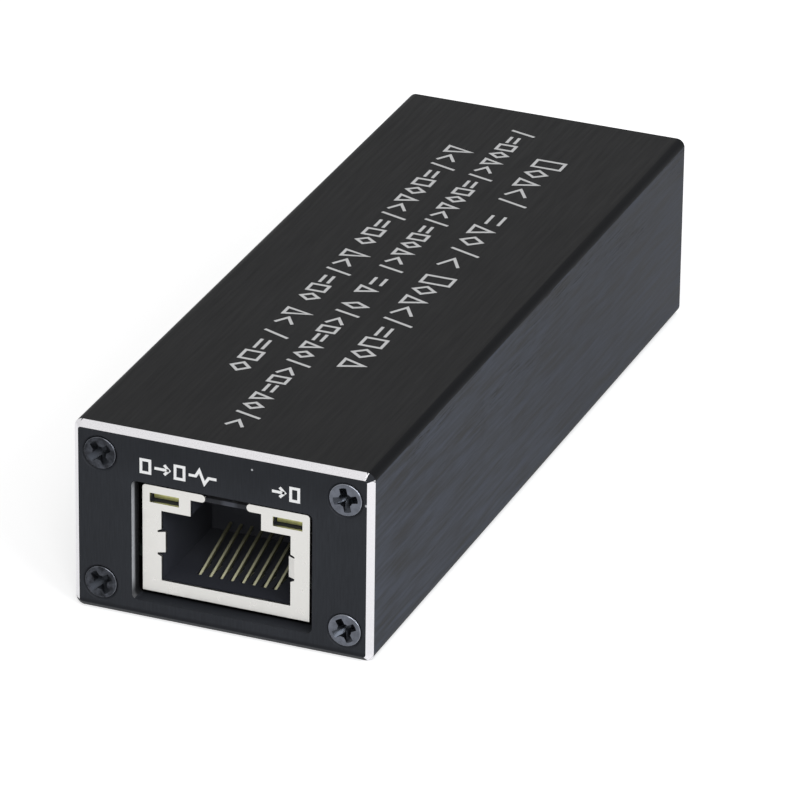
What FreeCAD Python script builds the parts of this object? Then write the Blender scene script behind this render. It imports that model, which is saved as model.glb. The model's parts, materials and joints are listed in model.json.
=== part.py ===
import FreeCAD, Part
import math
import operator
import os
from types import SimpleNamespace

import Sketcher
from FreeCAD import Placement, Rotation, Vector

# Fibre media converter: an extruded aluminium sleeve closed by two screwed end panels. The front
# panel (-Y) shows a shielded network jack with two lamps, the rear panel (+Y) a cage for a plug-in
# optical module and a small power socket. One circuit board slides in rails inside the sleeve.
# Frame: millimetres, +Z up, origin under the middle of the case, on the surface that it stands on.

SIZES = [
    # alias, millimetres, what it is
    ("side_space", 6.175, "from the jack's side to the side of the case"),
    ("wall", 1.5, "wall of the sleeve"),
    ("edge_radius", 0.8, "outer long edges of the sleeve and corners of the panels"),
    ("inner_radius", 0.5, "inner corners of the sleeve"),
    ("headroom", 0.7, "between the module cage and the roof"),
    ("floor_gap", 0.34, "between the power socket and the floor"),
    ("panel_thick", 1.6, "end panels"),
    ("panel_chamfer", 0.55, "bevel round the outer face of an end panel"),
    ("rail_depth", 1.1, "how far a board rail stands in from the side wall"),
    ("rail_thick", 0.8, "height of a board rail"),
    ("screw_inset_x", 2.55, "from the side of the case to a panel screw"),
    ("screw_inset_z", 2.75, "from the top or bottom of the case to a panel screw"),
    ("port_width", 4.0, "diameter of the screw ports inside the sleeve"),
    ("screw_shank", 2.0, "thread diameter of the panel screws"),
    ("screw_head", 3.1, "head diameter of the panel screws"),
    ("screw_length", 5.0, "length of a panel screw, head included"),
    ("sink_width", 3.45, "mouth of a countersink in a panel"),
    ("shank_gap", 0.1, "round a screw in its panel hole"),
    ("thread_gap", 0.02, "round a screw in its port"),
    ("recess_span", 2.3, "cross recess from end to end"),
    ("recess_width", 0.66, "one arm of the cross recess"),
    ("recess_core", 1.3, "round middle of the cross recess"),
    ("recess_foot", 0.5, "cross recess at its bottom"),
    ("recess_depth", 1.0, "depth of the cross recess"),
    ("board_thick", 1.2, "circuit board"),
    ("board_slide", 0.1, "board to side wall and to upper rail"),
    ("board_end_gap", 0.4, "board to each end panel"),
    ("jack_width", 15.65, "network jack across its shield"),
    ("jack_height", 10.23, "network jack"),
    ("jack_length", 16.0, "network jack, front to back"),
    ("jack_recess", 0.93, "jack face behind the front panel's face"),
    ("jack_sink", 2.6, "how far the jack hangs below the board"),
    ("jack_seat", 4.2, "rear part of the jack that stands on the board"),
    ("jack_margin", 0.62, "between the jack and its cut-out in the panel"),
    ("cutout_radius", 0.5, "corners of the panel cut-outs"),
    ("shield_sheet", 0.25, "sheet of the jack's shield"),
    ("shield_fold", 0.32, "outer fold radius of the shield"),
    ("plug_width", 12.1, "plug opening"),
    ("plug_height", 6.73, "plug opening"),
    ("plug_sill", 1.21, "shield below the plug opening"),
    ("plug_depth", 11.0, "plug opening, from the jack face"),
    ("latch_width", 6.6, "slot above the plug opening for the plug's latch"),
    ("latch_depth", 8.0, "latch slot, from the jack face"),
    ("latch_gap", 3.87, "gap between the two top strips of the shield"),
    ("strip_height", 0.73, "top strips of the shield"),
    ("gap_depth", 1.1, "how far the gap cuts back into the shield's top"),
    ("finger_height", 2.31, "spring finger at each side of the plug opening"),
    ("finger_rise", 3.63, "middle of the fingers above the sill"),
    ("finger_reach", 0.27, "how far a finger stands into the opening"),
    ("finger_root", 0.36, "how far a finger starts inside the shield's side"),
    ("finger_bend", 0.28, "how far a finger bends back"),
    ("notch_size", 0.34, "notch at each end of a finger"),
    ("lamp_width", 2.76, "lamp window"),
    ("lamp_height", 0.91, "lamp window"),
    ("lamp_margin", 0.68, "from the jack's side to its lamp window"),
    ("lamp_recess", 0.85, "lamp face behind the jack face"),
    ("lamp_length", 6.0, "lamp body"),
    ("lead_bury", 0.5, "how far a lamp lead starts inside the lamp body"),
    ("lead_width", 0.4, "lead of a lamp"),
    ("lead_pitch", 1.27, "between the two leads of a lamp"),
    ("lead_inset", 0.9, "lamp leads in front of the jack's back"),
    ("wing_reach", 1.8, "solder wing of the shield beyond its side"),
    ("wing_length", 1.6, "solder wing along the jack"),
    ("wing_place", 4.4, "first wing behind the jack face"),
    ("wing_pitch", 5.0, "second wing behind the first"),
    ("pin_reach", 0.8, "solder pins below the board"),
    ("pin_gap", 0.15, "round a pin in its board hole"),
    ("moulding_fit", 0.06, "moulded pieces inside their sheet shells"),
    ("contact_pitch", 1.02, "jack contacts"),
    ("contact_width", 0.25, "jack contacts"),
    ("contact_thick", 0.25, "jack contacts"),
    ("contact_nose", 2.4, "front bend of a contact behind the jack face"),
    ("contact_crook", 0.75, "inside of the front bend behind its outside"),
    ("contact_tip", 9.4, "free end of a contact behind the jack face"),
    ("contact_rise", 2.2, "free end of a contact above its run in the floor"),
    ("contact_slot", 2.8, "open slot in the jack's floor behind the front bend of a contact"),
    ("contact_floor", 0.7, "run of a contact above the jack's underside"),
    ("contact_pin", 13.2, "solder pin of a contact behind the jack face"),
    ("contact_bridge", 1.2, "run of a contact above the board"),
    ("slot_gap", 0.12, "beside a contact in its comb slot"),
    ("overcut", 0.1, "how far a cut reaches past the surface that it opens"),
    ("bay_length", 12.07, "open board between the jack and the module cage"),
    ("cage_width", 14.1, "module cage"),
    ("cage_height", 9.6, "module cage"),
    ("cage_length", 48.7, "module cage"),
    ("cage_recess", 0.3, "cage mouth behind the rear panel's face"),
    ("cage_margin", 0.45, "between the cage and its cut-out in the panel"),
    ("cage_sheet", 0.25, "sheet of the cage"),
    ("cage_open_gap", 0.3, "from the host connector's feet to the cage's floor"),
    ("vent_width", 1.5, "vent holes of the cage"),
    ("vent_pitch", 3.6, "vent holes of the cage"),
    ("tab_width", 5.2, "latch tab in the cage's floor, between its slits"),
    ("tab_length", 8.5, "latch tab from the cage mouth"),
    ("tab_slit", 0.5, "slit beside the latch tab"),
    ("tab_window", 2.8, "triangular window of the latch tab"),
    ("cage_pin", 0.7, "board pins of the cage, along it"),
    ("cage_pin_pitch", 10.0, "board pins of the cage"),
    ("cage_pin_inset", 4.5, "first board pin from the cage's closed end"),
    ("cage_pin_reach", 0.3, "board pins of the cage below the board"),
    ("collar_sheet", 0.15, "spring collar round the cage mouth"),
    ("collar_band", 1.5, "band of the spring collar"),
    ("collar_back", 5.2, "collar behind the cage mouth"),
    ("collar_bulge", 0.4, "springs of the collar beyond the cage"),
    ("collar_lip", 0.25, "collar springs end behind the cage mouth"),
    ("collar_crest", 1.45, "highest point of the collar springs behind the cage mouth"),
    ("collar_spring", 2.2, "width of a collar spring"),
    ("host_width", 11.8, "host connector in the cage"),
    ("host_height", 5.6, "host connector"),
    ("host_length", 9.0, "host connector"),
    ("host_inset", 1.4, "host connector from the cage's closed end"),
    ("host_slot_width", 9.6, "card slot of the host connector"),
    ("host_slot_height", 1.3, "card slot"),
    ("host_slot_depth", 6.0, "card slot"),
    ("host_slot_rise", 3.3, "middle of the card slot above the board"),
    ("host_pitch", 0.8, "contacts of the host connector"),
    ("host_contact", 0.34, "width of a host contact"),
    ("strip_thick", 0.2, "thickness of a host contact"),
    ("host_foot", 0.8, "solder foot of a host contact"),
    ("power_width", 8.94, "power socket shell"),
    ("power_height", 3.16, "power socket shell"),
    ("power_length", 7.35, "power socket shell"),
    ("power_radius", 1.25, "corners of the power socket shell"),
    ("power_recess", 0.3, "power socket behind the rear panel's face"),
    ("power_margin", 0.2, "between the power socket and its cut-out"),
    ("power_sheet", 0.2, "sheet of the power socket shell"),
    ("power_leg", 1.1, "legs of the power socket, along it"),
    ("power_leg_inset", 1.6, "rear legs from the shell's closed end"),
    ("power_leg_pitch", 2.85, "front legs from the rear ones"),
    ("power_plug_depth", 4.9, "open depth of the power socket"),
    ("tongue_width", 6.6, "tongue of the power socket"),
    ("tongue_thick", 0.7, "tongue of the power socket"),
    ("tongue_radius", 0.2, "long edges of the tongue"),
    ("tongue_recess", 0.8, "tongue behind the socket's mouth"),
    ("power_contact", 0.4, "width of a power contact"),
    ("power_contact_pitch", 1.05, "power contacts, the two rows taken together"),
    ("power_strip", 0.1, "thickness of a power contact"),
    ("power_foot", 0.7, "solder foot of a power contact"),
    ("part_gap", 1.0, "between neighbouring parts on the board"),
    ("side_gap", 0.45, "from the cage to the small parts beside it"),
    ("can_width", 6.3, "bulk capacitor can"),
    ("can_height", 7.7, "bulk capacitor, base included"),
    ("can_base", 6.6, "base of a bulk capacitor"),
    ("can_base_thick", 1.1, "base of a bulk capacitor"),
    ("can_clip", 1.3, "corners cut off the base of a bulk capacitor"),
    ("can_groove", 0.25, "groove round a bulk capacitor can"),
    ("can_foot", 1.0, "bulk capacitor can between its base and the groove"),
    ("lead_thick", 0.2, "sheet of the bent package leads"),
    ("package_standoff", 0.15, "moulded package body off the board"),
    ("lid_inset", 0.15, "lid of a leadless package inside its base"),
    ("cap_length", 0.4, "end cap of a chip part"),
    ("cap_proud", 0.03, "end cap of a chip part beyond its body"),
]
# moulded and ceramic parts on the board: name and its sizes in millimetres, where pitch, lead and
# reach are those of its bent leads, and base is the lower part of a leadless package
PART_SIZES = [
    ("transformer", {"length": 15.2, "width": 6.8, "height": 2.9, "pitch": 1.1, "lead": 0.45,
                     "reach": 1.1}),
    ("converter", {"length": 9.0, "width": 9.0, "height": 0.9, "base": 0.25}),
    ("crystal", {"length": 3.2, "width": 2.5, "height": 0.8, "base": 0.3}),
    ("diode", {"length": 2.2, "width": 4.3, "height": 2.2, "pitch": 2.2, "lead": 2.0, "reach": 0.5}),
    ("bridge", {"length": 4.7, "width": 3.9, "height": 1.5, "pitch": 2.5, "lead": 0.6, "reach": 1.1}),
    ("regulator", {"length": 4.9, "width": 3.9, "height": 1.5, "pitch": 1.27, "lead": 0.41, "reach": 1.05}),
    ("memory", {"length": 4.9, "width": 3.9, "height": 1.5, "pitch": 1.27, "lead": 0.41, "reach": 1.05}),
    ("inductor", {"length": 5.3, "width": 5.3, "height": 2.9, "base": 2.4}),
    ("capacitor", {"length": 2.0, "width": 1.25, "height": 0.85}),
    ("resistor", {"length": 1.6, "width": 0.8, "height": 0.45}),
]
SIZES += [(f"{part}_{word}", millimetres, f"{word} of the {part}")
          for part, sizes in PART_SIZES for word, millimetres in sizes.items()]

COUNTS = SimpleNamespace(jack_contacts=8, host_row=10, power_row=3, vents=11, vent_rows=3,
                         cage_pins=5, side_parts=6, transformer_leads=12, bridge_leads=2,
                         regulator_leads=4, memory_leads=4, collar_top=4, collar_side=3)
# how far each cross recess is turned, in degrees
RECESS_TURNS = {"front": (37.0, 35.0, 29.0, 13.0), "rear": (8.0, 52.0, 24.0, 71.0)}

doc = FreeCAD.newDocument("media_converter")
sheet = doc.addObject("Spreadsheet::Sheet", "Sizes")
for row, (alias, millimetres, meaning) in enumerate(SIZES, start=1):
    sheet.set(f"A{row}", alias)
    sheet.set(f"B{row}", str(millimetres))
    sheet.setAlias(f"B{row}", alias)
    sheet.set(f"C{row}", meaning)
doc.recompute()


# ---- lengths that know the spreadsheet expression they come from ----

OPERATIONS = {"+": operator.add, "-": operator.sub, "*": operator.mul, "/": operator.truediv}


class Size:
    """A length with its spreadsheet expression, so that ordinary arithmetic stays parametric."""

    def __init__(self, number, text):
        self.number = number
        self.text = text

    def __add__(self, other):
        return combine(self, "+", other)

    def __radd__(self, other):
        return combine(other, "+", self)

    def __sub__(self, other):
        return combine(self, "-", other)

    def __rsub__(self, other):
        return combine(other, "-", self)

    def __mul__(self, other):
        return combine(self, "*", other)

    def __rmul__(self, other):
        return combine(other, "*", self)

    def __truediv__(self, other):
        return combine(self, "/", other)

    def __neg__(self):
        return combine(0.0, "-", self)


def as_size(value):
    return value if isinstance(value, Size) else Size(float(value), repr(float(value)))


def combine(left, sign, right):
    left, right = as_size(left), as_size(right)
    number = OPERATIONS[sign](left.number, right.number)
    return Size(number, f"({left.text} {sign} {right.text})")


def about(middle, width):
    """The low and high ends of a width centred on middle."""
    return (middle - width / 2, middle + width / 2)


def spread(middle, width, count):
    """The middles of count equal shares of a width."""
    return [middle + width / count * (i - (count - 1) / 2) for i in range(count)]


def in_order(first, second):
    """Two levels, the lower one first."""
    return sorted((as_size(first), as_size(second)), key=lambda size: size.number)


def bind(thing, path, size):
    thing.setExpression(path, as_size(size).text)


s = SimpleNamespace(**{alias: Size(float(sheet.get(alias)), f"Sizes.{alias}")
                       for alias, _, _ in SIZES})

# ---- places worked out from the driving sizes ----

case_width = s.jack_width + 2 * s.side_space
case_height = (s.wall + s.floor_gap + s.power_height + s.board_thick + s.cage_height
               + s.headroom + s.wall)
case_length = s.jack_recess + s.jack_length + s.bay_length + s.cage_length + s.cage_recess
half_width = case_width / 2
front = -case_length / 2
rear = case_length / 2
inner_x = half_width - s.wall
roof = case_height - s.wall

screw_x = half_width - s.screw_inset_x
screw_levels = (s.screw_inset_z, case_height - s.screw_inset_z)
screw_places = [(side * screw_x, level) for side in (-1, 1) for level in screw_levels]

board_bottom = s.wall + s.floor_gap + s.power_height
board_top = board_bottom + s.board_thick
board_front = front + s.panel_thick + s.board_end_gap
board_rear = rear - s.panel_thick - s.board_end_gap
pin_tip = board_bottom - s.pin_reach

jack_x = s.jack_width / 2
jack_face = front + s.jack_recess
jack_back = jack_face + s.jack_length
jack_bottom = board_bottom - s.jack_sink
jack_top = jack_bottom + s.jack_height
seat_front = jack_back - s.jack_seat
plug_floor = jack_bottom + s.plug_sill
plug_ceiling = plug_floor + s.plug_height
latch_top = jack_top - s.strip_height
finger_z = plug_floor + s.finger_rise
lamp_x = jack_x - s.lamp_margin - s.lamp_width / 2
lamp_z = latch_top - s.lamp_height / 2
lead_y = jack_back - s.lead_inset
wing_x = jack_x + s.wing_reach
wing_places = (jack_face + s.wing_place, jack_face + s.wing_place + s.wing_pitch)
contact_places = [s.contact_pitch * (i - (COUNTS.jack_contacts - 1) / 2)
                  for i in range(COUNTS.jack_contacts)]
contact_pin_y = jack_face + s.contact_pin

cage_x = s.cage_width / 2
cage_mouth = rear - s.cage_recess
cage_end = cage_mouth - s.cage_length
cage_top = board_top + s.cage_height
host_back = cage_end + s.host_inset
host_mouth = host_back + s.host_length
cage_pin_places = [cage_end + s.cage_pin_inset + s.cage_pin_pitch * i for i in range(COUNTS.cage_pins)]

power_x = s.power_width / 2
power_mouth = rear - s.power_recess
power_back = power_mouth - s.power_length
power_z = board_bottom - s.power_height / 2
power_leg_places = (power_back + s.power_leg_inset,
                    power_back + s.power_leg_inset + s.power_leg_pitch)


# ---- sketches ----

def new_body(label):
    body = doc.addObject("PartDesign::Body", label)
    body.Label = label
    return body


def dimension(sketch, kind, geometry, point, size):
    """Hold a point at a signed distance from the sketch's origin along one axis."""
    size = as_size(size)
    index = sketch.addConstraint(Sketcher.Constraint(kind, -1, 1, geometry, point, size.number))
    sketch.setExpression(f"Constraints[{index}]", size.text)


def hold_radius(sketch, geometry, size):
    size = as_size(size)
    index = sketch.addConstraint(Sketcher.Constraint("Radius", geometry, size.number))
    sketch.setExpression(f"Constraints[{index}]", size.text)


def draw_edges(sketch, points):
    """Straight edges from each point to the next, every point dimensioned. Returns their indices."""
    corners = [(as_size(u), as_size(v)) for u, v in points]
    edges = []
    for (u0, v0), (u1, v1) in zip(corners, corners[1:]):
        start, end = Vector(u0.number, v0.number, 0), Vector(u1.number, v1.number, 0)
        edges.append(sketch.addGeometry(Part.LineSegment(start, end)))
        dimension(sketch, "DistanceX", edges[-1], 1, u0)
        dimension(sketch, "DistanceY", edges[-1], 1, v0)
    for edge, following in zip(edges, edges[1:]):
        sketch.addConstraint(Sketcher.Constraint("Coincident", edge, 2, following, 1))
    return edges


def outline(points):
    """A closed profile of straight edges."""
    def draw(sketch):
        edges = draw_edges(sketch, points + points[:1])
        sketch.addConstraint(Sketcher.Constraint("Coincident", edges[-1], 2, edges[0], 1))
    return draw


def half_screw(head, shank, rim, neck, end):
    """Half section of a countersunk screw beside the v axis. Its rim is rounded to a quarter circle."""
    def draw(sketch):
        edges = draw_edges(sketch, [(head, rim), (shank, neck), (shank, end), (0, end), (0, 0),
                                    (head - rim, 0)])
        last = edges[-1]
        dimension(sketch, "DistanceX", last, 2, head - rim)
        dimension(sketch, "DistanceY", last, 2, 0)
        centre = Vector((head - rim).number, rim.number, 0)
        rim_circle = Part.Circle(centre, Vector(0, 0, 1), rim.number)
        arc = sketch.addGeometry(Part.ArcOfCircle(rim_circle, math.radians(270), math.radians(360)))
        sketch.addConstraint(Sketcher.Constraint("Coincident", last, 2, arc, 1))
        sketch.addConstraint(Sketcher.Constraint("Coincident", arc, 2, edges[0], 1))
        hold_radius(sketch, arc, rim)
    return draw


def rectangle(u, v):
    return outline([(u[0], v[0]), (u[1], v[0]), (u[1], v[1]), (u[0], v[1])])


def rounded(u, v, radius):
    """A rectangle with round corners."""
    def draw(sketch):
        size = as_size(radius)
        centres = [(u[0] + size, v[0] + size, 180), (u[1] - size, v[0] + size, 270),
                   (u[1] - size, v[1] - size, 0), (u[0] + size, v[1] - size, 90)]
        arcs = []
        for cu, cv, start in centres:
            circle_line = Part.Circle(Vector(cu.number, cv.number, 0), Vector(0, 0, 1), size.number)
            arc = Part.ArcOfCircle(circle_line, math.radians(start), math.radians(start + 90))
            arcs.append(sketch.addGeometry(arc))
        for i, arc in enumerate(arcs):
            following = arcs[(i + 1) % 4]
            start, end = sketch.getPoint(arc, 2), sketch.getPoint(following, 1)
            line = sketch.addGeometry(Part.LineSegment(start, end))
            sketch.addConstraint(Sketcher.Constraint("Tangent", arc, 2, line, 1))
            sketch.addConstraint(Sketcher.Constraint("Tangent", line, 2, following, 1))
        for arc, (cu, cv, _) in zip(arcs, centres):
            dimension(sketch, "DistanceX", arc, 3, cu)
            dimension(sketch, "DistanceY", arc, 3, cv)
            hold_radius(sketch, arc, size)
    return draw


def circle(u, v, radius):
    def draw(sketch):
        cu, cv, size = as_size(u), as_size(v), as_size(radius)
        index = sketch.addGeometry(Part.Circle(Vector(cu.number, cv.number, 0), Vector(0, 0, 1),
                                               size.number))
        dimension(sketch, "DistanceX", index, 3, cu)
        dimension(sketch, "DistanceY", index, 3, cv)
        hold_radius(sketch, index, size)
    return draw


def sketch_in(body, plane, level, name, profiles):
    """A sketch on one of the body's own origin planes, moved to level along that plane's axis."""
    sketch = body.newObject("Sketcher::SketchObject", name)
    support = next(f for f in body.Origin.OriginFeatures if f.Role == plane + "_Plane")
    sketch.AttachmentSupport = [(support, "")]
    sketch.MapMode = "FlatFace"
    # the XZ plane faces -Y, the other two face along their axis
    bind(sketch, "AttachmentOffset.Base.z", -level if plane == "XZ" else level)
    for profile in profiles:
        profile(sketch)
    return sketch


def pad(body, name, plane, span, *profiles):
    """Add material between the two levels of span."""
    feature = body.newObject("PartDesign::Pad", name)
    feature.Profile = sketch_in(body, plane, as_size(span[0]), name + "Sketch", profiles)
    bind(feature, "Length", span[1] - span[0])
    feature.Reversed = plane == "XZ"
    return feature


def pocket(body, name, plane, span, *profiles):
    """Remove material between the two levels of span."""
    feature = body.newObject("PartDesign::Pocket", name)
    feature.Profile = sketch_in(body, plane, as_size(span[0]), name + "Sketch", profiles)
    bind(feature, "Length", span[1] - span[0])
    feature.Reversed = plane != "XZ"
    return feature


# ---- part primitives and booleans ----

TURNS = {"x": Rotation(Vector(0, 1, 0), 90), "y": Rotation(Vector(1, 0, 0), -90), "z": Rotation()}
PLANE_TURNS = {"XY": Rotation(), "XZ": Rotation(Vector(1, 0, 0), 90),
               "YZ": Rotation(Vector(1, 1, 1), 120)}
PLANE_NORMALS = {"XY": "z", "XZ": "y", "YZ": "x"}


def block(name, x, y, z):
    box = doc.addObject("Part::Box", name)
    for axis, side, (low, high) in zip("xyz", ("Length", "Width", "Height"), (x, y, z)):
        bind(box, side, high - low)
        bind(box, f"Placement.Base.{axis}", low)
    return box


def place_round(thing, axis, start, centre):
    """Stand a round primitive along axis, with its foot at start and centre in the other two axes."""
    thing.Placement = Placement(Vector(), TURNS[axis])
    others = [letter for letter in "xyz" if letter != axis]
    for letter, place in zip([axis] + others, (start,) + tuple(centre)):
        bind(thing, f"Placement.Base.{letter}", place)


def rod(name, axis, span, centre, radius):
    cylinder = doc.addObject("Part::Cylinder", name)
    bind(cylinder, "Radius", radius)
    bind(cylinder, "Height", span[1] - span[0])
    place_round(cylinder, axis, span[0], centre)
    return cylinder


def taper(name, axis, span, centre, radius_low, radius_high):
    cone = doc.addObject("Part::Cone", name)
    bind(cone, "Radius1", radius_low)
    bind(cone, "Radius2", radius_high)
    bind(cone, "Height", span[1] - span[0])
    place_round(cone, axis, span[0], centre)
    return cone


def flat_sketch(name, plane, *profiles):
    """A sketch outside any body, on the plane through the origin."""
    sketch = doc.addObject("Sketcher::SketchObject", name)
    sketch.Placement = Placement(Vector(), PLANE_TURNS[plane])
    for profile in profiles:
        profile(sketch)
    return sketch


def prism(name, sketch, plane, span):
    """Extrude a flat sketch between the two levels of span."""
    extrusion = doc.addObject("Part::Extrusion", name)
    extrusion.Base = sketch
    extrusion.DirMode = "Custom"
    axis = PLANE_NORMALS[plane]
    extrusion.Dir = Vector(*(1.0 if letter == axis else 0.0 for letter in "xyz"))
    extrusion.Solid = True
    bind(extrusion, "LengthFwd", span[1] - span[0])
    bind(extrusion, f"Placement.Base.{axis}", span[0])
    return extrusion


def strips(name, sketch, plane, places, width):
    """The same flat sketch extruded to one width at each place."""
    return [prism(f"{name}{i}", sketch, plane, about(place, width)) for i, place in enumerate(places)]


def fuse(name, pieces):
    if len(pieces) == 1:
        return pieces[0]
    union = doc.addObject("Part::MultiFuse", name)
    union.Shapes = pieces
    return union


def cut(name, base, tools):
    difference = doc.addObject("Part::Cut", name)
    difference.Base = base
    difference.Tool = fuse(name + "Tools", tools)
    return difference


def common(name, pieces):
    shared = doc.addObject("Part::MultiCommon", name)
    shared.Shapes = pieces
    return shared


def group(name, pieces):
    compound = doc.addObject("Part::Compound", name)
    compound.Links = pieces
    return compound


NODES = {}


def node(label, thing):
    """Register a finished piece under the name of its node."""
    thing.Label = label
    NODES[label] = thing


# ---- case ----

def inward(end, near, far):
    """The span from near to far, measured inwards from the outer face of an end."""
    return (front + near, front + far) if end == "front" else (rear - far, rear - near)


def build_sleeve():
    body = new_body("housing_sleeve")
    span = (front + s.panel_thick, rear - s.panel_thick)
    pad(body, "Tube", "XZ", span,
        rounded((-half_width, half_width), (as_size(0), case_height), s.edge_radius),
        rounded((-inner_x, inner_x), (s.wall, roof), s.inner_radius))
    pad(body, "ScrewPorts", "XZ", span,
        *(circle(x, z, s.port_width / 2) for x, z in screw_places))
    rails = []
    for side in (-1, 1):
        edges = in_order(side * (inner_x - s.rail_depth), side * (inner_x + s.wall / 2))
        rails.append(rectangle(edges, (board_bottom - s.rail_thick, board_bottom)))
        rails.append(rectangle(edges, (board_top + s.board_slide,
                                       board_top + s.board_slide + s.rail_thick)))
    pad(body, "BoardRails", "XZ", span, *rails)
    pocket(body, "ThreadedCores", "XZ", span,
           *(circle(x, z, s.screw_shank / 2 + s.thread_gap) for x, z in screw_places))
    node("housing_sleeve", body)


def build_panel(end, cutouts):
    body = new_body(end + "_panel")
    name = end.capitalize()
    span = inward(end, 0.0, s.panel_thick)
    plate = pad(body, name + "Plate", "XZ", span,
                rounded((-half_width, half_width), (as_size(0), case_height), s.edge_radius))
    doc.recompute()
    face_y = (front if end == "front" else rear).number
    rim = [f"Edge{i}" for i, edge in enumerate(plate.Shape.Edges, start=1)
           if all(abs(vertex.Point.y - face_y) < 1e-6 for vertex in edge.Vertexes)]
    bevel = body.newObject("PartDesign::Chamfer", name + "Bevel")
    bevel.Base = (plate, rim)
    bind(bevel, "Size", s.panel_chamfer)
    pocket(body, name + "Cutouts", "XZ", span, *cutouts)
    pocket(body, name + "ScrewHoles", "XZ", span,
           *(circle(x, z, s.screw_shank / 2 + s.shank_gap) for x, z in screw_places))
    doc.recompute()
    sinks = [countersink(f"{name}Sink{i}", end, place) for i, place in enumerate(screw_places)]
    node(end + "_panel", cut(name + "Panel", body, sinks))
    body.Label = end + "_panel_plate"


def cone_at(name, end, near, far, place, radius_near, radius_far):
    """A cone along Y whose near end is towards the outside of the case."""
    low, high = (radius_near, radius_far) if end == "front" else (radius_far, radius_near)
    return taper(name, "y", inward(end, near, far), place, low, high)


def countersink(name, end, place):
    radius, hole = s.sink_width / 2, s.screw_shank / 2 + s.shank_gap
    return cone_at(name, end, 0.0, radius - hole, place, radius, hole)


def cross(place, turn):
    """The corners of a cross recess round place, turned by some degrees."""
    arm, half = s.recess_span / 2, s.recess_width / 2
    corners = [(arm, -half), (arm, half), (half, half), (half, arm)]
    cosine, sine = math.cos(math.radians(turn)), math.sin(math.radians(turn))
    points = []
    for _ in range(4):
        points += [(place[0] + u * cosine - v * sine, place[1] + u * sine + v * cosine)
                   for u, v in corners[:3]]
        corners = [(-v, u) for u, v in corners]
    return points


def build_screw(name, end, place, turn):
    """One panel screw. Its rim meets the countersink where that is as wide as the head."""
    head, shank = s.screw_head / 2, s.screw_shank / 2
    rim = (s.sink_width - s.screw_head) / 2
    body = new_body(name + "Blank")
    profile = half_screw(head, shank, rim, rim + head - shank, s.screw_length)
    turning = body.newObject("PartDesign::Revolution", name + "Turning")
    turning.Profile = sketch_in(body, "XY", as_size(0), name + "Section", [profile])
    turning.ReferenceAxis = (turning.Profile[0], ["V_Axis"])
    turning.Angle = 360
    body.Placement = Placement(Vector(), Rotation(Vector(0, 0, 1), 0 if end == "front" else 180))
    for axis, level in zip("xyz", (place[0], front if end == "front" else rear, place[1])):
        bind(body, f"Placement.Base.{axis}", level)
    arms = prism(name + "Arms", flat_sketch(name + "Cross", "XZ", outline(cross(place, turn))),
                 "XZ", inward(end, 0.0, s.recess_depth))
    bit = cone_at(name + "Bit", end, 0.0, s.recess_depth, place, s.recess_span / 2, s.recess_foot / 2)
    core = cone_at(name + "Core", end, 0.0, s.recess_depth, place, s.recess_core / 2, s.recess_foot / 2)
    return cut(name, body, [common(name + "Recess", [arms, bit]), core])


def build_screws(end):
    screws = [build_screw(f"{end.capitalize()}Screw{i}", end, place, turn)
              for i, (place, turn) in enumerate(zip(screw_places, RECESS_TURNS[end]))]
    node(end + "_panel_screws", group(end.capitalize() + "Screws", screws))


# ---- network jack ----

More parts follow.
